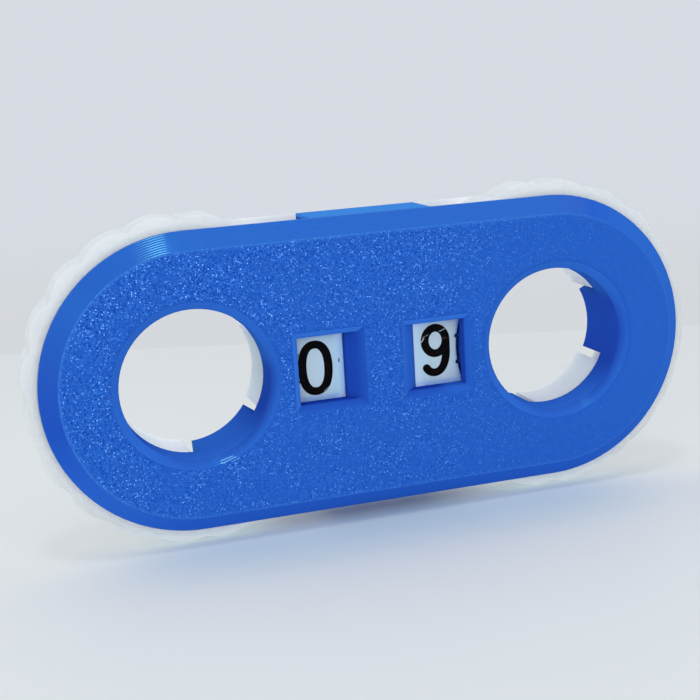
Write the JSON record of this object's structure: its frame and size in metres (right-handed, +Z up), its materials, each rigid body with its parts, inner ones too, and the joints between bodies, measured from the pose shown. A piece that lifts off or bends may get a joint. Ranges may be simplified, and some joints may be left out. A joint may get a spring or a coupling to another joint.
{
  "type": "game score counter",
  "caption": "Flat pocket score counter: numbered thumb wheels turn between snap-together covers and show a figure in each window.",
  "frame": {"origin": "bottom centre of the counter as it stands upright on its wheels", "axes": "+X to the right along the length as seen from the front, -Y out of the front cover towards the viewer, +Z up"},
  "size_m": [0.0926, 0.0116, 0.0426],
  "materials": {
    "blue_plastic": "satin blue print with a fine sparkle on the flat face",
    "white_plastic": "satin white print",
    "wheel_plastic": "satin white print with black figures printed flush"
  },
  "bodies": {
    "covers": {"front_cover": "blue_plastic", "back_cover": "white_plastic"},
    "left_dial": {"left_wheel": "wheel_plastic"},
    "right_dial": {"right_wheel": "wheel_plastic"}
  },
  "joints": [
    {"name": "left_wheel_turn", "type": "hinge", "parent": "covers", "child": "left_dial", "pos_m": [-0.025, 0, 0.02131], "axis": [0, -1, 0], "continuous": true},
    {"name": "right_wheel_turn", "type": "hinge", "parent": "covers", "child": "right_dial", "pos_m": [0.025, 0, 0.02131], "axis": [0, -1, 0], "continuous": true}
  ]
}
